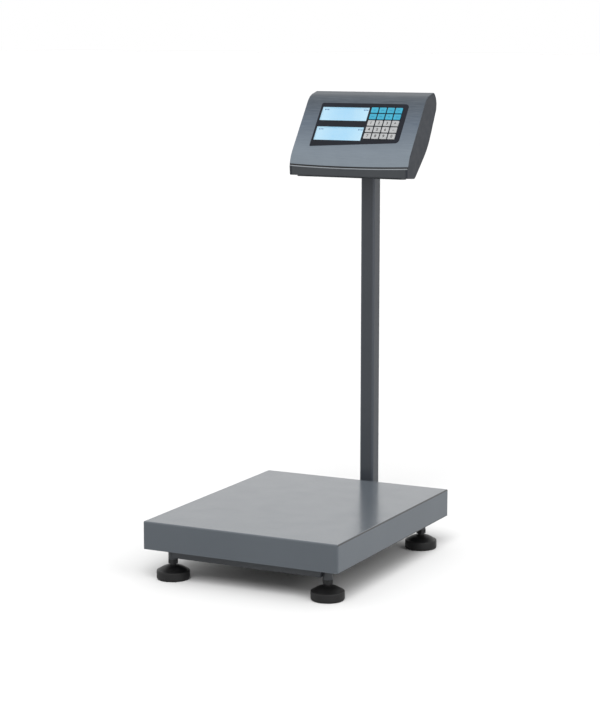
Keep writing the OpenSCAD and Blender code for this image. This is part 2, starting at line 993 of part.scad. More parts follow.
// Plate that closes one end of the head: it covers the rear shell's end and sits inside the front shell
module cheek(side) {
    outer = head_w / 2 - cheek_sunk;
    color(PLASTIC)
        in_head()
            mirror([side < 0 ? 1 : 0, 0, 0]) {
                along_x(outer - cheek_t, outer) {
                    difference() {
                        head_outline();
                        front_of_parting(-0.3);
                    }
                    head_outline(shell_wall + 0.2);
                }
                along_x(outer - cheek_t - 6, outer - cheek_t + 0.5)
                    difference() {
                        head_outline(shell_wall + 0.2);
                        head_outline(shell_wall + 2);
                    }
            }
}

module shell_seal() {
    color(RUBBER)
        in_head()
            along_x(-shell_half, shell_half)
                difference() {
                    intersection() {
                        head_outline(0.9);
                        front_of_parting(0.02 - seam_gap);
                    }
                    head_outline(shell_wall - 0.3);
                    front_of_parting(-0.02);
                }
}

// Children are placed once for each key
module at_key(row, column) {
    translate([
        keys_x + (column - (KEY_COLUMNS - 1) / 2) * key_pitch_x,
        keys_u + ((len(KEY_ROWS) - 1) / 2 - row) * key_pitch_y,
        0
    ])
        children();
}

module panel_bezel() {
    color(PANEL)
        in_head()
            translate([0, 0, bezel_back])
                linear_extrude(bezel_t)
                    difference() {
                        polygon(rounded(PANEL_OUTLINE));
                        for (u = DISPLAY_U)
                            translate([display_x, u])
                                round_rect(display_w, display_h, 0.8);
                        for (row = [0 : len(KEY_ROWS) - 1])
                            for (column = [0 : KEY_COLUMNS - 1])
                                at_key(row, column)
                                    round_rect(key_w + 2 * key_gap, key_h + 2 * key_gap, 1.2);
                    }
}

module display_windows() {
    color(LCD, 0.4)
        in_head()
            for (u = DISPLAY_U)
                face_block(display_x, u, display_w + 2.2, display_h + 2.2, bezel_back - pane_t - 0.05, bezel_back - 0.05);
}

module lcd_modules() {
    color(LCD)
        in_head()
            for (u = DISPLAY_U) {
                face_block(display_x, u, display_w + 5, display_h + 4, lcd_front - lcd_t, lcd_front);
                face_block(display_x, u, display_w + 5, display_h + 4, lcd_back, lcd_front - lcd_t - 0.05);
            }
}

module main_board() {
    color(BOARD)
        in_head()
            difference() {
                union() {
                    face_block(0, 98, 206, 92, board_front - board_t, board_front - 0.05);
                    face_block(70, 70, 18, 18, board_front - board_t - 2.4, board_front - board_t + 0.1);
                    face_block(30, 80, 30, 9, board_front - board_t - 2.4, board_front - board_t + 0.1);
                }
                for (hole = BOARD_HOLES)
                    translate([hole.x, hole.y, board_front - 5])
                        cylinder(h = 10, r = 1.7);
            }
}

module keypad_mat() {
    base_front = -8;
    dome_r = 4;
    color(IVORY)
        in_head() {
            face_block(
                keys_x, keys_u,
                3 * key_pitch_x + key_w + 1, 4 * key_pitch_y + key_h + 1, board_front + 0.05, base_front
            );
            for (row = [0 : len(KEY_ROWS) - 1])
                for (column = [0 : KEY_COLUMNS - 1])
                    at_key(row, column)
                        translate([0, 0, base_front - 0.5])
                            cylinder(h = key_bottom - key_travel - 0.2 - base_front + 0.5, r = dome_r);
        }
}

// One key cap with the flange that holds it behind the bezel
module key_cap(row, column) {
    flange_top = bezel_back - 0.2;
    color(row < 2 ? CYAN : IVORY)
        in_head()
            at_key(row, column) {
                translate([0, 0, key_bottom])
                    linear_extrude(face_w + bezel_proud + key_proud - key_bottom)
                        round_rect(key_w, key_h, 1);
                translate([0, 0, flange_top - key_flange_t])
                    linear_extrude(key_flange_t)
                        square([key_w + 2 * key_flange, key_h + 2 * key_flange], center = true);
            }
}

module battery() {
    terminal = [6, 3, 5];
    color("#3a3d42")
        in_head()
            translate(battery_at) {
                cube(battery_size);
                for (x = [12, battery_size.x - 18])
                    translate([x, battery_size.y - 0.1, 8])
                        cube(terminal);
            }
}

module housing_screws() {
    color(STEEL)
        in_head() {
            for (screw = HOUSING_SCREWS)
                translate([screw.x, screw.y, -48]) {
                    translate([0, 0, -3])
                        cylinder(h = 3, r = 4);
                    cylinder(h = 48 + part_w(screw.y) + 8, r = 2);
                }
            for (hole = BOARD_HOLES)
                translate([hole.x, hole.y, board_front - board_t]) {
                    translate([0, 0, -2])
                        cylinder(h = 2, r = 2.8);
                    translate([0, 0, -0.5])
                        cylinder(h = 9, r = 1.4);
                }
        }
}

// Panel in the back of the head, with the frame of the power switch and the power socket
module power_panel() {
    wall = 2.4;
    x0 = rocker_x - rocker_box.x / 2 - panel_margin;
    x1 = socket_x + socket_r + panel_margin;
    half_e = rocker_box.y / 2 + panel_margin;
    color(PLASTIC)
        on_rear_face()
            translate([0, power_e, 0])
                difference() {
                    union() {
                        translate([x0, -half_e, -panel_t])
                            cube([x1 - x0, 2 * half_e, panel_t]);
                        translate([rocker_x - rocker_box.x / 2, -rocker_box.y / 2, -0.5])
                            cube([rocker_box.x, rocker_box.y, power_depth + 0.5]);
                        translate([socket_x, 0, -0.5])
                            cylinder(h = power_depth + 0.5, r = socket_r);
                    }
                    translate([
                        rocker_x - rocker_size.x / 2 - 1, -rocker_size.z / 2 - 0.3, -panel_t - cut
                    ])
                        cube([rocker_size.x + 2, rocker_size.z + 0.6, power_depth + panel_t - wall + cut]);
                    translate([rocker_x, -rocker_box.y / 2 - cut, rocker_z])
                        rotate([-90, 0, 0])
                            cylinder(h = rocker_box.y + 2 * cut, r = rocker_pin_r + run_gap);
                    translate([socket_x, 0, -panel_t - cut])
                        cylinder(h = 10, r = 2.8);
                }
}

module power_rocker() {
    tip = 3;
    half = rocker_size.x / 2;
    color(RUBBER)
        on_rear_face()
            translate([rocker_x, power_e, rocker_z])
                rotate([90, 0, 0]) {
                    translate([0, 0, -rocker_size.z / 2])
                        linear_extrude(rocker_size.z)
                            polygon([
                                [-half, -rocker_size.y + tip],
                                [0, -rocker_size.y + tip + 1.4],
                                [half, -rocker_size.y + tip],
                                [half - 1.5, 1],
                                [3, 3.4],
                                [-3, 3.4],
                                [-half + 1.5, 1]
                            ]);
                    translate([0, 0, -rocker_box.y / 2 + 0.4])
                        cylinder(h = rocker_box.y - 0.8, r = rocker_pin_r);
                }
}

base_frame();
foot_locknuts();
foot_pad(-1, -1);  // foot_pad_front_left
foot_pad(1, -1);  // foot_pad_front_right
foot_pad(-1, 1);  // foot_pad_rear_left
foot_pad(1, 1);  // foot_pad_rear_right
foot_stud(-1, -1);  // foot_stud_front_left
foot_stud(1, -1);  // foot_stud_front_right
foot_stud(-1, 1);  // foot_stud_rear_left
foot_stud(1, 1);  // foot_stud_rear_right
load_cell();
cell_lower_bolts();
cell_upper_bolts();
top_frame();
support_pads();
overload_stops();
platter();
column_bracket();
bracket_bolts();
column();
column_bolts();
mast_bracket();
tilt_bolt();
tilt_knob();
signal_cable();
front_shell();
rear_shell();
cheek(-1);  // left_cheek
cheek(1);  // right_cheek
shell_seal();
panel_bezel();
display_windows();
lcd_modules();
main_board();
keypad_mat();
battery();
battery_door();
housing_screws();
power_panel();
power_rocker();
key_cap(0, 0);  // key_a1
key_cap(0, 1);  // key_a2
key_cap(0, 2);  // key_a3
key_cap(0, 3);  // key_a4
key_cap(1, 0);  // key_b1
key_cap(1, 1);  // key_b2
key_cap(1, 2);  // key_b3
key_cap(1, 3);  // key_b4
key_cap(2, 0);  // key_c1
key_cap(2, 1);  // key_c2
key_cap(2, 2);  // key_c3
key_cap(2, 3);  // key_c4
key_cap(3, 0);  // key_d1
key_cap(3, 1);  // key_d2
key_cap(3, 2);  // key_d3
key_cap(3, 3);  // key_d4
key_cap(4, 0);  // key_e1
key_cap(4, 1);  // key_e2
key_cap(4, 2);  // key_e3
key_cap(4, 3);  // key_e4
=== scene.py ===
"""Looks of the platform shipping scale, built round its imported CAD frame. Lengths are in metres."""

import json
import math

import bmesh
import bpy
from mathutils import Matrix, Vector


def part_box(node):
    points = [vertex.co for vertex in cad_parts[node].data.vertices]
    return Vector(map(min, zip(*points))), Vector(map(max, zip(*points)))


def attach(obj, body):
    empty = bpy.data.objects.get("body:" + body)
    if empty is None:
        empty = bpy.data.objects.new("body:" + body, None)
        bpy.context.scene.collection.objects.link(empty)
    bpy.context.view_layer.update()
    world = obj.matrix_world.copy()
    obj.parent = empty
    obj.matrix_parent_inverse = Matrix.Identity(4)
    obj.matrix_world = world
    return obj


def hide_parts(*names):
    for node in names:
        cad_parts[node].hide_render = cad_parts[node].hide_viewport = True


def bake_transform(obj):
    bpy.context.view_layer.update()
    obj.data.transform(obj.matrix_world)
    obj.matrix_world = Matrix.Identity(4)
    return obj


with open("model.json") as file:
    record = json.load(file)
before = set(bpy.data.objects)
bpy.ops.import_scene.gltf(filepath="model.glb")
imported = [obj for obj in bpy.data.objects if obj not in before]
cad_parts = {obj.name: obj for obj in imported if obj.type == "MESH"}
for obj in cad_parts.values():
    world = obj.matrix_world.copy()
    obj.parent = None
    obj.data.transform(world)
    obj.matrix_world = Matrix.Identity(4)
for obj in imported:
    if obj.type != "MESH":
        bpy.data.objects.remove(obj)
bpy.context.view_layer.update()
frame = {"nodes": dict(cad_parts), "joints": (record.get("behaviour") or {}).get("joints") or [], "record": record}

NODES = frame["nodes"]
SLOT_OF = {s["node"]: s["material_slot"] for s in frame["record"]["subparts"]}
BODY_OF = {
    node: body
    for body, members in frame["record"]["behaviour"]["bodies"].items()
    for node in members
}
KEY_NAMES = [node for node in NODES if node.startswith("key_")]
# Nodes whose flat faces have no openings, so that their triangles can be joined before rounding
WHOLE_FACED = {"platter", "column", "left_cheek", "right_cheek", "battery_door", "tilt_knob"}
WHOLE_FACED |= set(KEY_NAMES)
MM = 0.001


# ---- Small helpers ----


def new_object(name, data):
    piece = bpy.data.objects.new(name, data)
    bpy.context.scene.collection.objects.link(piece)
    return piece


def shade_smooth(mesh):
    for face in mesh.polygons:
        face.use_smooth = True


def mesh_object(name, made, material, smooth=True):
    """Turns a bmesh into an object of one material."""
    mesh = bpy.data.meshes.new(name)
    made.to_mesh(mesh)
    made.free()
    mesh.materials.append(material)
    if smooth:
        shade_smooth(mesh)
    return new_object(name, mesh)


def ringed_object(name, rings, material, smooth=True):
    """A closed piece whose skin runs from ring to ring. Each ring is a loop of as many points."""
    made = bmesh.new()
    loops = [[made.verts.new(point) for point in ring] for ring in rings]
    for here, there in zip(loops, loops[1:]):
        for k in range(len(here)):
            n = (k + 1) % len(here)
            made.faces.new((here[k], here[n], there[n], there[k]))
    made.faces.new(list(reversed(loops[0])))
    made.faces.new(loops[-1])
    bmesh.ops.recalc_face_normals(made, faces=made.faces[:])
    return mesh_object(name, made, material, smooth)


def turns(count):
    """The angles of that many equal steps round a circle."""
    return [2 * math.pi * k / count for k in range(count)]


def add_bevel(piece, width, segments=3, angle=32):
    bevel = piece.modifiers.new("edge_round", "BEVEL")
    bevel.width = width
    bevel.segments = segments
    bevel.limit_method = "ANGLE"
    bevel.angle_limit = math.radians(angle)
    bevel.harden_normals = False
    bevel.miter_outer = "MITER_ARC"


def add_weighted_normals(piece):
    normals = piece.modifiers.new("flat_stays_flat", "WEIGHTED_NORMAL")
    normals.mode = "FACE_AREA"
    normals.weight = 80
    normals.keep_sharp = True


def soften(node, width, segments=2):
    """Welds a CAD node's triangles and rounds its sharp edges, as modifiers only."""
    piece = NODES[node]
    weld = piece.modifiers.new("weld", "WELD")
    weld.merge_threshold = 1e-6
    if node in WHOLE_FACED:
        flat = piece.modifiers.new("whole_faces", "DECIMATE")
        flat.decimate_type = "DISSOLVE"
        flat.angle_limit = math.radians(0.4)
    shade_smooth(piece.data)
    add_bevel(piece, width, segments)
    add_weighted_normals(piece)


# ---- Head frame: x right, y up the face, z out of the face, like the CAD's ----

out_of_face = -Vector(next(j["axis"] for j in frame["joints"] if j["name"] == "press_a1"))
out_of_face.normalize()
up_face = out_of_face.cross(Vector((1, 0, 0)))


def head_matrix(origin):
    """Places a piece on the head with its origin at a point of the row frame."""
    turn = Matrix((Vector((1, 0, 0)), up_face, out_of_face)).transposed()
    return Matrix.Translation(origin) @ turn.to_4x4()


# ---- Materials ----


class Shader:
    """A node tree with a Principled surface, and short calls for the nodes used here."""

    def __init__(self, name):
        self.material = bpy.data.materials.new(name)
        self.material.use_nodes = True
        self.tree = self.material.node_tree
        self.surface = self.tree.nodes["Principled BSDF"]
        self.place = self.node("ShaderNodeTexCoord").outputs["Object"]

    def node(self, kind, **settings):
        made = self.tree.nodes.new(kind)
        for key, value in settings.items():
            setattr(made, key, value)
        return made

    def link(self, source, target):
        self.tree.links.new(source, target)

    def feed(self, socket, value):
        if hasattr(value, "links"):
            self.link(value, socket)
        else:
            socket.default_value = value

    def stretched(self, scale):
        mapping = self.node("ShaderNodeMapping")
        mapping.inputs["Scale"].default_value = scale
        self.link(self.place, mapping.inputs["Vector"])
        return mapping.outputs["Vector"]

    def noise(self, scale, detail=3, rough=0.55, stretch=None):
        made = self.node("ShaderNodeTexNoise")
        made.inputs["Scale"].default_value = scale
        made.inputs["Detail"].default_value = detail
        made.inputs["Roughness"].default_value = rough
        self.link(self.stretched(stretch) if stretch else self.place, made.inputs["Vector"])
        return made.outputs["Fac"]

    def span(self, value, low, high, to_low, to_high):
        made = self.node("ShaderNodeMapRange")
        made.clamp = True
        ends = {"From Min": low, "From Max": high, "To Min": to_low, "To Max": to_high}
        for key, number in ends.items():
            made.inputs[key].default_value = number
        self.link(value, made.inputs["Value"])
        return made.outputs["Result"]

    def math(self, operation, a, b=0.0):
        made = self.node("ShaderNodeMath", operation=operation)
        self.feed(made.inputs[0], a)
        self.feed(made.inputs[1], b)
        return made.outputs[0]

    def mix(self, factor, a, b):
        made = self.node("ShaderNodeMix", data_type="RGBA")
        self.feed(made.inputs[0], factor)
        self.feed(made.inputs[6], a)
        self.feed(made.inputs[7], b)
        return made.outputs[2]

    def bump(self, *layers):
        """Each layer is (height, distance in metres, strength). The first layer is the coarsest."""
        normal = None
        for height, distance, strength in layers:
            made = self.node("ShaderNodeBump")
            made.inputs["Distance"].default_value = distance
            made.inputs["Strength"].default_value = strength
            self.link(height, made.inputs["Height"])
            if normal is not None:
                self.link(normal, made.inputs["Normal"])
            normal = made.outputs["Normal"]
        self.link(normal, self.surface.inputs["Normal"])

    def edges(self, radius):
        """1 along outer edges within radius, 0 on flat faces."""
        faint, full = 0.98, 0.75  # cosines of the normal's turn where the mask starts and is full
        rounded = self.node("ShaderNodeBevel", samples=4)
        rounded.inputs["Radius"].default_value = radius
        plain = self.node("ShaderNodeNewGeometry").outputs["Normal"]
        dot = self.node("ShaderNodeVectorMath", operation="DOT_PRODUCT")
        self.link(rounded.outputs["Normal"], dot.inputs[0])
        self.link(plain, dot.inputs[1])
        return self.span(dot.outputs["Value"], faint, full, 0.0, 1.0)

    def set(self, **values):
        for key, value in values.items():
            self.feed(self.surface.inputs[key.replace("_", " ")], value)


def rgb(code, gain=1.0):
    """A screen colour such as 6b747b as the linear colour that a shader takes."""
    parts = [int(code[k : k + 2], 16) / 255 for k in (0, 2, 4)]
    linear = [c / 12.92 if c <= 0.04045 else ((c + 0.055) / 1.055) ** 2.4 for c in parts]
    return (*[c * gain for c in linear], 1.0)


def split_axes(s, vector):
    """A vector's X, Y and Z outputs."""
    split = s.node("ShaderNodeSeparateXYZ")
    s.link(vector, split.inputs[0])
    return split.outputs


def painted_fold_shade(s):
    """Painted shade: 1 in the thin dark band along the upper and lower edges of the pan's two side skirts."""
    low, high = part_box("platter")
    height = split_axes(s, s.place)["Z"]
    facing = split_axes(s, s.node("ShaderNodeNewGeometry").outputs["True Normal"])["X"]
    upper = s.span(height, high.z - 2.8 * MM, high.z - 2.0 * MM, 0.0, 1.0)
    lower = s.span(height, low.z + 1.8 * MM, low.z + 1.0 * MM, 0.0, 1.0)
    sideways = s.span(s.math("ABSOLUTE", facing), 0.3, 0.5, 0.0, 1.0)
    return s.math("MULTIPLY", s.math("MAXIMUM", upper, lower), sideways)


def painted_corner_highlight(s):
    """Painted highlight: 1 on the column's round corners, lightened as if they caught more light than its faces.
    """
    low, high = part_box("column")
    place = split_axes(s, s.place)
    half = (high.x - low.x) / 2
    across = s.math("ABSOLUTE", s.math("SUBTRACT", place["X"], (low.x + high.x) / 2))
    along = s.math("ABSOLUTE", s.math("SUBTRACT", place["Y"], (low.y + high.y) / 2))
    return s.span(s.math("MINIMUM", across, along), half - 5.2 * MM, half - 3.2 * MM, 0.0, 0.8)


def painted_metal(
    name, colour, dark, light, rough=0.24, peel=0.1, wear=0.5, lines_and_painted_light=None, painted_light_colour="131518", coat=0.0
):
    """Powder paint: slow changes of colour, fine specks, orange peel, edges worn lighter, and optional painted
    light along given edges (painted shade on the pan's folds, a painted highlight on the column's corners).
    """
    s = Shader(name)
    clouds = s.noise(5, 3)
    speckle = s.noise(900, 2)
    base = s.mix(s.span(clouds, 0.3, 0.7, 0, 1), rgb(dark), rgb(colour))
    flecks = s.mix(s.span(speckle, 0.55, 0.8, 0, 0.18), base, rgb(light))
    worn = s.math("MULTIPLY", s.edges(0.0016), s.span(s.noise(60, 3), 0.45, 0.7, 0.1, wear))
    base = s.mix(worn, flecks, rgb(light))
    # Painted light: the given mask lays the given colour along edges, as painted shade on the pan and a painted
    # highlight on the column.
    if lines_and_painted_light:
        base = s.mix(lines_and_painted_light(s), base, rgb(painted_light_colour))
    s.set(Base_Color=base)
    s.set(Roughness=s.span(s.noise(16, 5), 0.25, 0.75, rough - 0.03, rough + 0.03))
    s.set(Coat_Weight=coat, Coat_Roughness=rough * 0.5)
    s.bump((s.noise(420, 2), 0.0001, peel), (speckle, 0.00003, 0.2))
    return s.material


def plated_steel(name):
    s = Shader(name)
    grain = s.noise(300, 3, stretch=(1, 1, 0.2))
    s.set(Base_Color=s.mix(s.span(s.noise(40, 4), 0.3, 0.7, 0, 1), rgb("8e9196"), rgb("b9bbbd")))
    s.set(Metallic=1.0, Roughness=s.span(grain, 0.3, 0.7, 0.25, 0.42))
    s.bump((grain, 0.0001, 0.4))
    return s.material


def cast_rubber(name, colour, light, rough=0.6, scale=500):
    s = Shader(name)
    dust = s.span(s.noise(18, 5), 0.5, 0.8, 0, 0.5)
    s.set(Base_Color=s.mix(dust, rgb(colour), rgb(light)))
    s.set(Roughness=s.span(s.noise(60, 4), 0.3, 0.7, rough - 0.08, rough + 0.08))
    s.bump((s.noise(scale, 2), 0.0002, 0.35))
    return s.material


def moulded_plastic(name, colour, dark, rough=0.45, grain=1400, depth=0.00006):
    s = Shader(name)
    s.set(Base_Color=s.mix(s.span(s.noise(12, 4), 0.3, 0.7, 0, 1), rgb(dark), rgb(colour)))
    s.set(Roughness=s.span(s.noise(90, 4), 0.3, 0.7, rough - 0.05, rough + 0.07))
    s.bump((s.noise(grain, 2), depth, 0.5))
    return s.material


def head_front_paint(name):
    """Metallic grey with a fine grain that runs across the head, and a painted reflection that darkens it towards
    the top edge, where the face leans back.
    """
    s = Shader(name)
    low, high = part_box("front_shell")
    rise = s.span(split_axes(s, s.place)["Z"], low.z + 10 * MM, high.z, 0.0, 1.0)
    # Painted reflection: the colour runs from light at the bottom to dark at the top edge, where the face leans
    # back.
    painted_reflection_ramp = s.node("ShaderNodeValToRGB")
    stops = painted_reflection_ramp.color_ramp.elements
    stops[0].position, stops[0].color = 0.0, rgb("818c96")
    stops[1].position, stops[1].color = 0.96, rgb("262e37")
    middle = stops.new(0.55)
    middle.color = rgb("505d6c")
    s.link(rise, painted_reflection_ramp.inputs[0])
    brush = s.noise(900, 4, 0.65, stretch=(0.035, 1, 1))
    lines_and_painted_light = s.mix(s.span(brush, 0.3, 0.7, 0, 0.22), painted_reflection_ramp.outputs[0], rgb("a2adb7"))
    clouds = s.mix(s.span(s.noise(11, 3), 0.35, 0.7, 0, 0.16), lines_and_painted_light, rgb("4c555e"))
    s.set(Base_Color=clouds, Metallic=0.2, Roughness=s.span(brush, 0.3, 0.7, 0.36, 0.46))
    s.bump((brush, 0.00006, 0.3))
    return s.material


def panel_film(name):
    s = Shader(name)
    s.set(Base_Color=s.mix(s.span(s.noise(30, 3), 0.3, 0.7, 0, 1), rgb("0d111b"), rgb("141926")))
    s.set(Roughness=s.span(s.noise(140, 3), 0.3, 0.7, 0.3, 0.42), Specular_IOR_Level=0.22)
    s.bump((s.noise(1600, 2), 0.00003, 0.35))
    return s.material


def clear_pane(name):
    """A thin window that lets the light of the display through and keeps a faint reflection."""
    s = Shader(name)
    clear = s.node("ShaderNodeBsdfTransparent")
    gloss = s.node("ShaderNodeBsdfGlossy")
    gloss.inputs["Roughness"].default_value = 0.12
    smear = s.span(s.noise(25, 4), 0.3, 0.7, 0.03, 0.07)
    blend = s.node("ShaderNodeMixShader")
    s.link(smear, blend.inputs[0])
    s.link(clear.outputs[0], blend.inputs[1])
    s.link(gloss.outputs[0], blend.inputs[2])
    s.link(blend.outputs[0], s.tree.nodes["Material Output"].inputs["Surface"])
    return s.material


def display_light(name):
    """Pale blue backlight with a faint cell grid, brighter towards its ends where the lamps are."""
    s = Shader(name)
    low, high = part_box("lcd_modules")
    half = (high.x - low.x) / 2
    across = split_axes(s, s.place)["X"]
    off_centre = s.math("ABSOLUTE", s.math("SUBTRACT", across, (high.x + low.x) / 2))
    lamp = s.span(off_centre, half * 0.25, half * 0.95, 0.0, 1.0)
    haze = s.span(s.noise(35, 3), 0.3, 0.7, 0, 0.35)
    tint = s.mix(lamp, rgb("a3dafa"), rgb("bfe8fd"))
    glow = s.mix(haze, tint, rgb("b5e2f9"))
    s.set(Base_Color=rgb("20303c"), Roughness=0.35, Emission_Color=glow, Emission_Strength=0.92)
    return s.material


def circuit_board(name):
    s = Shader(name)
    tracks = s.span(s.noise(120, 2, stretch=(1, 0.2, 0.2)), 0.48, 0.52, 0, 1)
    s.set(Base_Color=s.mix(tracks, rgb("1f5a38"), rgb("2f7a4c")), Roughness=0.35)
    s.bump((tracks, 0.00004, 0.5))
    return s.material


def key_plastic(name, colour, dark):
    s = Shader(name)
    s.set(Base_Color=s.mix(s.span(s.noise(45, 3), 0.3, 0.7, 0, 1), rgb(dark), rgb(colour)))
    s.set(Roughness=s.span(s.noise(220, 3), 0.3, 0.7, 0.42, 0.55))
    s.bump((s.noise(1500, 2), 0.00004, 0.4))
    return s.material


def printed_ink(name, colour, light):
    s = Shader(name)
    grain = s.span(s.noise(700, 2), 0.4, 0.7, 0, 1)
    s.set(Base_Color=s.mix(grain, rgb(colour), rgb(light)), Roughness=0.6)
    return s.material


MATERIALS = {
    "painted_steel": painted_metal(
        "painted_steel", "5b6269", "565d64", "8c9298", lines_and_painted_light=painted_fold_shade, coat=0.25
    ),
    "column_paint": painted_metal(
        # The lighter colour 4f545c on the round corners is a painted highlight.
        "column_paint", "43474d", "3e4248", "7c8186", 0.2, lines_and_painted_light=painted_corner_highlight, painted_light_colour="4f545c"
    ),
    "frame_steel": painted_metal("frame_steel", "42464a", "393c40", "6a6e72", 0.4, 0.3),
    "bright_steel": plated_steel("bright_steel"),
    "black_hardware": cast_rubber("black_hardware", "17181a", "303235", 0.35, 700),
    "cell_aluminium": plated_steel("cell_aluminium"),
    "rubber": cast_rubber("rubber", "161616", "2c2c2c"),
    "foot_plastic": cast_rubber("foot_plastic", "141415", "2d2d2e", 0.5, 380),
    "knob_plastic": moulded_plastic("knob_plastic", "1b1c1e", "131415", 0.5),
    "cable_sheath": cast_rubber("cable_sheath", "131313", "262626", 0.45, 900),
    "head_front": head_front_paint("head_front"),
    "head_rear": moulded_plastic("head_rear", "292f38", "252a32", 0.5),
    # A lighter copy of the rear shell's plastic: painted light for the light its lower lip takes from the floor.
    "head_lip_painted_light": moulded_plastic("head_lip_painted_light", "45494d", "3e4246", 0.42),
    # Pale colour of the rib under the seam: a painted highlight on the rear shell's rounded upper edge.
    "rib_painted_highlight": moulded_plastic("rib_painted_highlight", "a4aaaf", "999fa5", 0.4),
    "panel_film": panel_film("panel_film"),
    "display_pane": clear_pane("display_pane"),
    "display_light": display_light("display_light"),
    "circuit_board": circuit_board("circuit_board"),
    "silicone": cast_rubber("silicone", "bdbdb8", "d2d2ce", 0.7),
    "battery_case": moulded_plastic("battery_case", "2a2c2f", "212326"),
    "key_cyan": key_plastic("key_cyan", "38b0cf", "2ca4c4"),
    "key_white": key_plastic("key_white", "bfc0c1", "b2b4b5"),
    "ink_dark": printed_ink("ink_dark", "2a2422", "3c3633"),
    "ink_blue": printed_ink("ink_blue", "2389ad", "2a94b6"),
    "ink_segment": printed_ink("ink_segment", "2f6fae", "3c7cba"),
}

# Radius of the edges of each material's nodes, in millimetres
EDGE_ROUND = {
    "painted_steel": 0.6,
    "column_paint": 0.3,
    "black_hardware": 0.4,
    "frame_steel": 0.6,
    "bright_steel": 0.3,
    "cell_aluminium": 0.5,
    "rubber": 0.2,
    "knob_plastic": 0.6,
    "head_front": 0.35,
    "head_rear": 0.7,
    "panel_film": 0.25,
    "key_cyan": 0.55,
    "key_white": 0.55,
    "battery_case": 0.5,
    "silicone": 0.4,
}

for node, piece in NODES.items():
    slot = SLOT_OF[node]
    piece.data.materials.clear()
    # The rear shell takes the lighter copy of its plastic, as painted light.
    piece.data.materials.append(MATERIALS["head_lip_painted_light" if node == "rear_shell" else slot])
    if slot in EDGE_ROUND:
        soften(node, EDGE_ROUND[slot] * MM)


# ---- Head: the front skin, the strips under its seam (a black one of painted shade, a pale rib of painted highlight) and the cable behind it ----


def face_place(point):
    """A point of the row frame as (up the face, out of the face)."""
    return point.dot(up_face), point.dot(out_of_face)


def row_place(x, up, out):
    return Vector((x, 0, 0)) + up_face * up + out_of_face * out


def convex_outline(points):
    """Anticlockwise convex outline of flat points, without near duplicates."""
    points = sorted(set((round(a, 5), round(b, 5)) for a, b in points))

    def half(run):
        chain = []
        for p in run:
            while len(chain) > 1:
                (ax, ay), (bx, by) = chain[-2], chain[-1]
                if (bx - ax) * (p[1] - ay) - (by - ay) * (p[0] - ax) > 1e-12:
                    break
                chain.pop()
            chain.append(p)
        return chain[:-1]

    return half(points) + half(reversed(points))


class EndOutline:
    """The head's end outline, measured along its skin from the seam at the bottom up over the face."""

    def __init__(self):
        front = {
            tuple(round(c, 6) for c in face_place(v.co)) for v in NODES["front_shell"].data.vertices
        }
        ends = [face_place(v.co) for v in NODES["right_cheek"].data.vertices]
        loop = [Vector(p) for p in convex_outline(list(front) + ends)]
        sides = list(zip(loop, loop[1:] + loop[:1]))
        skin = [Vector(p) for p in front if min(self.gap(a, b, p) for a, b in sides) < 0.02 * MM]
        start = min(skin, key=lambda p: p.x)
        top = min((p for p in skin if p.x > start.x + 100 * MM), key=lambda p: p.y)
        for extra in (start, top):
            side = min(range(len(loop)), key=lambda k: self.gap(loop[k - 1], loop[k], extra))
            if min((p - extra).length for p in loop) > 0.01 * MM:
                loop.insert(side, extra)
        first = min(range(len(loop)), key=lambda k: (loop[k] - start).length)
        top = min(loop, key=lambda p: (p - top).length)
        loop = loop[first:] + loop[:first]
        if loop[1].y < loop[0].y:
            loop = [loop[0]] + loop[:0:-1]
        self.loop = loop
        self.marks = [0.0]
        for a, b in zip(loop, loop[1:]):
            self.marks.append(self.marks[-1] + (b - a).length)
        self.length = self.marks[-1] + (loop[0] - loop[-1]).length
        self.top = self.marks[loop.index(top)]
        along, inwards = loop[1] - loop[0], sum(loop, Vector((0, 0))) / len(loop) - loop[0]
        self.turn = 1 if along.x * inwards.y < along.y * inwards.x else -1

    @staticmethod
    def gap(a, b, point):
        """How far a flat point is from the line between a and b."""
        point = Vector(point)
        along = b - a
        t = max(0.0, min(1.0, (point - a).dot(along) / max(along.length_squared, 1e-12)))
        return (a + along * t - point).length

    def at(self, distance):
        """The point (up the face, out of the face) at a distance along the outline."""
        distance %= self.length
        marks = self.marks + [self.length]
        corners = self.loop + [self.loop[0]]
        for k in range(len(self.loop)):
            if distance <= marks[k + 1]:
                t = (distance - marks[k]) / (marks[k + 1] - marks[k])
                return corners[k].lerp(corners[k + 1], t)

    def along(self, distance):
        """The direction of the outline there."""
        return (self.at(distance + 0.5 * MM) - self.at(distance - 0.5 * MM)).normalized()

    def outwards(self, distance):
        """The direction out of the head there."""
        along = self.along(distance)
        return Vector((-along.y, along.x)) * self.turn

    def distance_at(self, up):
        """The distance along the outline at which the face reaches a height up the face."""
        steps = 2000
        best = min(range(steps), key=lambda k: abs(self.at(self.top * k / steps).x - up))
        return self.top * best / steps


END = EndOutline()
SEAM_SAG = 2.9 * MM
SKIN_WALL = 2.3 * MM
HEAD_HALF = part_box("front_shell")[1].x
HEAD_STEPS = 28


def seam_at(x):
    """Where the front skin's lower edge is, a little lower in the middle than at the ends."""
    return 0.2 * MM + SEAM_SAG * (x / HEAD_HALF) ** 2


def opening_in_face():
    """The window in the skin behind the control panel: low and high x, low and high distance."""
    shown = [v.co for n in KEY_NAMES + ["display_windows"] for v in NODES[n].data.vertices]
    rises = [face_place(v)[0] for v in shown]
    low_x, high_x = min(v.x for v in shown), max(v.x for v in shown)
    return low_x, high_x, END.distance_at(min(rises)), END.distance_at(max(rises))


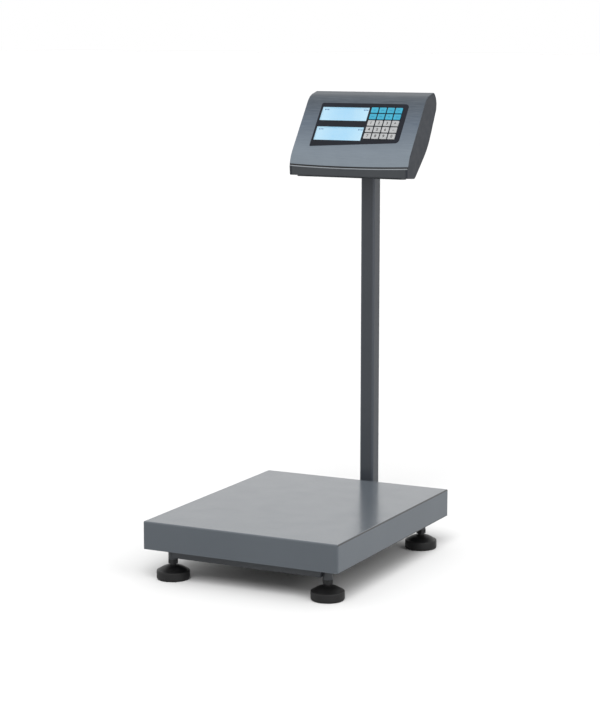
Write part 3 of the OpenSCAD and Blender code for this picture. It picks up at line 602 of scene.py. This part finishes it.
def front_skin():
    """The painted front shell, with its sagging lower edge and its window for the panel."""
    low_x, high_x, low_s, high_s = opening_in_face()
    steps = {-HEAD_HALF + 2 * HEAD_HALF * k / HEAD_STEPS for k in range(HEAD_STEPS + 1)}
    columns = sorted(steps | {low_x, high_x})
    rows = sorted({m for m in END.marks if 6 * MM < m <= END.top} | {low_s, high_s})
    edge_rows = [0.0, 1.5 * MM, 3.5 * MM]
    made = bmesh.new()
    grid = []
    for x in columns:
        line = [END.at(seam_at(x) + row) for row in edge_rows] + [END.at(row) for row in rows]
        grid.append([made.verts.new(row_place(x, p.x, p.y)) for p in line])
    places = [0.0] * len(edge_rows) + rows
    for a in range(len(columns) - 1):
        for b in range(len(places) - 1):
            inside_x = low_x - 1e-6 <= columns[a] and columns[a + 1] <= high_x + 1e-6
            inside_s = low_s - 1e-6 <= places[b] and places[b + 1] <= high_s + 1e-6
            if not (inside_x and inside_s):
                made.faces.new((grid[a][b], grid[a + 1][b], grid[a + 1][b + 1], grid[a][b + 1]))
    bmesh.ops.recalc_face_normals(made, faces=made.faces[:])
    facing = max(made.faces, key=lambda face: abs(face.normal.dot(out_of_face)))
    if facing.normal.dot(out_of_face) < 0:
        bmesh.ops.reverse_faces(made, faces=made.faces[:])
    skin = mesh_object("front_skin", made, MATERIALS["head_front"])
    wall = skin.modifiers.new("wall", "SOLIDIFY")
    wall.thickness = SKIN_WALL
    wall.offset = -1
    wall.use_even_offset = True
    add_bevel(skin, 0.8 * MM, 3, 50)
    add_weighted_normals(skin)
    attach(skin, BODY_OF["front_shell"])
    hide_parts("front_shell")


def seam_strip(name, material, drop, sunk, half_height, half_depth):
    """A rounded strip that follows the front skin's lower edge, a drop below it. Sizes are in mm."""
    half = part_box("right_cheek")[1].x - 0.3 * MM
    rings = []
    for k in range(HEAD_STEPS + 1):
        x = -half + 2 * half * k / HEAD_STEPS
        place = seam_at(x) - drop * MM
        tall = END.along(place) * half_height * MM
        outwards = END.outwards(place)
        centre = END.at(place) - outwards * sunk * MM
        deep = outwards * half_depth * MM
        ring = []
        for angle in turns(10):
            p = centre + tall * math.cos(angle) + deep * math.sin(angle)
            ring.append(row_place(x, p.x, p.y))
        rings.append(ring)
    strip = ringed_object(name, rings, MATERIALS[material])
    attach(strip, BODY_OF["rear_shell"])


def swept_tube(name, path, radius, material, sides=16):
    """A round tube along a list of points."""
    rings = []
    side = Vector((1, 0, 0))
    for k, point in enumerate(path):
        ahead = (path[min(k + 1, len(path) - 1)] - path[max(k - 1, 0)]).normalized()
        side = (side - ahead * side.dot(ahead)).normalized()
        other = ahead.cross(side)
        rings.append([point + radius * (side * math.cos(a) + other * math.sin(a)) for a in turns(sides)])
    return ringed_object(name, rings, MATERIALS[material])


def curve_points(a, b, c, d, steps=24):
    """Points of a cubic curve with ends a and d and handles b and c."""
    out = []
    for k in range(steps + 1):
        t = k / steps
        u = 1 - t
        out.append(a * u ** 3 + b * 3 * t * u ** 2 + c * 3 * t * t * u + d * t ** 3)
    return out


def head_cable():
    """The signal cable's loose loop from the column to the head."""
    cable_top, column_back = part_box("signal_cable")[1].z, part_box("column")[1].y
    sheath_r, gland_r = 2.4 * MM, 5 * MM
    start = Vector((6.8 * MM, column_back - 7 * MM, cable_top - 6 * MM))
    entry = END.at(END.length - 62 * MM)
    end = row_place(-34 * MM, entry.x, entry.y)
    path = curve_points(
        start, start + Vector((0, 12, 50)) * MM, end + Vector((0, 55, -20)) * MM, end
    )
    cable = swept_tube("head_cable", path, sheath_r, "cable_sheath")
    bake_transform(cable)
    outer, inner = end + Vector((0, 6, -2)) * MM, end - Vector((0, 3, -1)) * MM
    gland = swept_tube("cable_gland", [outer, inner], gland_r, "knob_plastic", 24)
    add_bevel(gland, 0.6 * MM, 2, 40)
    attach(gland, "head")


front_skin()
# Black strip sunk in the seam's groove, shaped as the seal's lip: painted shade for the groove's shadow.
seam_strip("seam_shade_strip", "rubber", drop=1.5, sunk=0.4, half_height=1.5, half_depth=0.6)
# Pale rib under the seam: its light colour is a painted highlight on the rear shell's rounded upper edge.
seam_strip("seam_rib_painted_highlight", "rib_painted_highlight", drop=3.9, sunk=0.3, half_height=1.15, half_depth=0.85)
head_cable()


# ---- Feet ----


def lathe(name, profile, centre, material, steps=96):
    """A turned piece about a vertical axis through centre. The profile is [(radius, height), ...]."""
    rings = []
    for radius, height in profile:
        rings.append([
            (centre.x + radius * math.cos(a), centre.y + radius * math.sin(a), height)
            for a in turns(steps)
        ])
    return ringed_object(name, rings, MATERIALS[material])


def arc(cx, cz, radius, start, end, steps):
    """Points on a circle between two angles in degrees, as [(radius, height), ...]."""
    angles = [math.radians(start + (end - start) * k / steps) for k in range(steps + 1)]
    return [(cx + radius * math.cos(a), cz + radius * math.sin(a)) for a in angles]


def foot_pad(node):
    """Moulded foot: a round lower edge, a straight side, a soft shoulder and a dome up to the neck."""
    low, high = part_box(node)
    centre = (low + high) / 2
    r = (high.x - low.x) / 2
    h = high.z - low.z
    edge, shoulder, neck, neck_edge, bulge = 4 * MM, 2.6 * MM, 10 * MM, 0.6 * MM, 1.3 * MM
    side_top = h * 0.66
    profile = [(r - 2.2 * edge, 0.0)]
    profile += arc(r - edge, edge, edge, -90, 0, 8)
    profile += arc(r - shoulder, side_top - shoulder, shoulder, 0, 90, 8)
    rim, crown = Vector((r - 1.2 * shoulder, side_top + 0.1 * MM)), Vector((neck, h - neck_edge))
    steps = 10
    for k in range(steps + 1):
        t = k / steps
        profile.append(rim.lerp(crown, t) + Vector((0, bulge * math.sin(math.pi * t))))
    profile += arc(neck - neck_edge, h - neck_edge, neck_edge, 0, 90, 4)
    piece = lathe(node + "_moulded", profile, centre, "foot_plastic")
    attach(piece, BODY_OF[node])
    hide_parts(node)
    normals = piece.modifiers.new("flat_stays_flat", "WEIGHTED_NORMAL")
    normals.weight = 60


for node in [n for n in NODES if n.startswith("foot_pad")]:
    foot_pad(node)


# ---- Printing on the keys and the displays ----

PRINT_DEPTH = 0.03 * MM


def rounded_bar(name, width, height, matrix, material, body):
    """A small printed bar with round corners, flat on the face."""
    corner = min(width, height) * 0.3
    outline = []
    for side_x, side_y, start in ((1, 1, 0), (-1, 1, 90), (-1, -1, 180), (1, -1, 270)):
        x, y = side_x * (width / 2 - corner), side_y * (height / 2 - corner)
        outline += arc(x, y, corner, start, start + 90, 3)
    rings = [[matrix @ Vector((x, y, level)) for x, y in outline] for level in (0, PRINT_DEPTH)]
    bar = ringed_object(name, rings, MATERIALS[material], smooth=False)
    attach(bar, body)


def printed_digit(name, digit, size, matrix, body):
    """One digit or sign as a thin print, centred on the matrix."""
    curve = bpy.data.curves.new(name + "_outline", "FONT")
    curve.body = digit
    curve.size = size
    curve.align_x = "CENTER"
    curve.align_y = "CENTER"
    curve.extrude = PRINT_DEPTH
    curve.offset = 0.18 * MM
    curve.resolution_u = 4
    source = new_object(name + "_outline", curve)
    bpy.context.view_layer.update()
    graph = bpy.context.evaluated_depsgraph_get()
    mesh = bpy.data.meshes.new_from_object(source.evaluated_get(graph))
    bpy.data.objects.remove(source)
    mesh.transform(matrix)
    mesh.materials.clear()
    mesh.materials.append(MATERIALS["ink_dark"])
    piece = new_object(name, mesh)
    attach(piece, body)


def face_extent(node, direction):
    """The greatest distance of a node's vertices along a direction."""
    return max(v.co.dot(direction) for v in NODES[node].data.vertices)


WHITE_KEYS = "123+456-7890"


def key_tops():
    """The middle of each cap's top, found from the caps' highest faces."""
    places = {}
    for node in KEY_NAMES:
        highest = face_extent(node, out_of_face)
        top = [v.co for v in NODES[node].data.vertices if highest - v.co.dot(out_of_face) < 1e-5]
        places[node] = sum(top, Vector()) / len(top)
    return places


TOPS = key_tops()
white = [n for n in sorted(TOPS) if SLOT_OF[n] == "key_white"]
cyan = [n for n in sorted(TOPS) if SLOT_OF[n] == "key_cyan"]
for node, digit in zip(white, WHITE_KEYS):
    printed_digit(node + "_print", digit, 8.8 * MM, head_matrix(TOPS[node]), BODY_OF[node])
for count, node in enumerate(cyan):
    width = (6.4 if count % 3 else 4.8) * MM
    place = head_matrix(TOPS[node])
    rounded_bar(node + "_print", width, 2 * MM, place, "ink_blue", BODY_OF[node])


def display_marks():
    """Small plain status bars in the upper corners of each display."""
    low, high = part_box("lcd_modules")
    places = [face_place(v.co) for v in NODES["lcd_modules"].data.vertices]
    glass = max(round(out, 5) for _, out in places)
    ups = sorted({round(up, 4) for up, _ in places})
    corners = (("left", low.x + 11 * MM), ("right", high.x - 11 * MM))
    for row, display_top in enumerate((ups[1], ups[-1])):
        for side, x in corners:
            for k, height in enumerate((2.4 * MM, 1.6 * MM, 2.4 * MM)):
                name = "display_mark_%s_%d_%d" % (side, row, k)
                place = row_place(x + (k - 1) * 3.4 * MM, display_top - 6.4 * MM, glass + 0.02 * MM)
                matrix = head_matrix(place)
                rounded_bar(name, 2.8 * MM, height, matrix, "ink_segment", "head")


display_marks()


# ---- Floor, light and camera ----


def studio_floor():
    """Pale paper that looks lighter to the camera than the light it throws back on the object."""
    made = bmesh.new()
    bmesh.ops.create_grid(made, x_segments=8, y_segments=8, size=60)
    s = Shader("floor_paper")
    seen = s.node("ShaderNodeLightPath").outputs["Is Camera Ray"]
    paper = s.mix(s.noise(0.6, 2), rgb("bcbcbc"), rgb("bebebe"))
    s.set(Base_Color=s.mix(seen, rgb("8f8f8f"), paper), Roughness=0.9, Specular_IOR_Level=0.1)
    floor = mesh_object("floor", made, s.material, smooth=False)
    return floor


def lit_only(lamp, pieces):
    """Keeps a lamp's light to the given pieces. Everything still casts its shadow."""
    lamp.light_linking.receiver_collection = bpy.data.collections.new(lamp.name + "_lights")
    for piece in pieces:
        lamp.light_linking.receiver_collection.objects.link(piece)


def aim(thing, direction):
    """Turns a lamp or a camera so that it looks along a direction."""
    thing.rotation_mode = "QUATERNION"
    thing.rotation_quaternion = Vector(direction).to_track_quat("-Z", "Y")


def sun_light(name, direction, softness, power):
    data = bpy.data.lights.new(name, "SUN")
    data.angle = math.radians(softness)
    data.energy = power
    lamp = new_object(name, data)
    aim(lamp, direction)
    return lamp


def area_light(name, place, target, size, power):
    data = bpy.data.lights.new(name, "AREA")
    data.shape = "RECTANGLE"
    data.size, data.size_y = size
    data.energy = power
    lamp = new_object(name, data)
    lamp.location = place
    aim(lamp, Vector(target) - Vector(place))
    return lamp


def studio_world():
    """Even white, just white to the camera and a little brighter to everything else."""
    world = bpy.data.worlds.new("studio")
    bpy.context.scene.world = world
    world.use_nodes = True
    tree = world.node_tree
    nodes, links = tree.nodes, tree.links
    nodes.clear()

    def backdrop(strength):
        made = nodes.new("ShaderNodeBackground")
        made.inputs["Color"].default_value = (1, 1, 1, 1)
        made.inputs["Strength"].default_value = strength
        return made.outputs[0]

    choose = nodes.new("ShaderNodeMixShader")
    links.new(nodes.new("ShaderNodeLightPath").outputs["Is Camera Ray"], choose.inputs[0])
    links.new(backdrop(1.02), choose.inputs[1])
    links.new(backdrop(1.0), choose.inputs[2])
    links.new(choose.outputs[0], nodes.new("ShaderNodeOutputWorld").inputs["Surface"])


CAMERA_AT = Vector((1.744, -3.461, 1.023))
CAMERA_YAW = math.radians(26.76)
CAMERA_PITCH = math.radians(9.277)
CAMERA_LENS = 103.37


def studio_camera():
    data = bpy.data.cameras.new("camera")
    data.lens = CAMERA_LENS
    data.sensor_width = 36
    data.clip_end = 300
    camera = new_object("camera", data)
    camera.location = CAMERA_AT
    level = math.cos(CAMERA_PITCH)
    aim(camera, (-math.sin(CAMERA_YAW) * level, math.cos(CAMERA_YAW) * level, -math.sin(CAMERA_PITCH)))
    bpy.context.scene.camera = camera


floor = studio_floor()
studio_world()
studio_camera()
pan, column = NODES["platter"], NODES["column"]
mid_column = (0, 0.31, 0.5)
area_light("overhead", (0.2, 0.4, 3.2), (0, 0.1, 0.3), (3.2, 3.2), 13)
area_light("side_strip", (3.4, -1.9, 1.1), (0, 0.2, 0.4), (0.5, 2.4), 12)
lit_only(area_light("pan_side", (3.4, 0.3, 0.5), (0.2, 0, 0.1), (1.5, 1.0), 24), [pan])
lit_only(sun_light("floor_key", (-0.3, 0.85, -1.0), 34, 3.5), [floor])
lit_only(sun_light("floor_side", (-1.0, 0.25, -0.75), 40, 1.1), [floor])
lit_only(area_light("column_strip", (3.1, -1.25, 0.6), mid_column, (0.3, 2.6), 2), [column])
lit_only(area_light("column_back_strip", (-3.1, 1.85, 0.6), mid_column, (0.3, 2.6), 7), [column])
bpy.context.scene.view_settings.view_transform = "Standard"
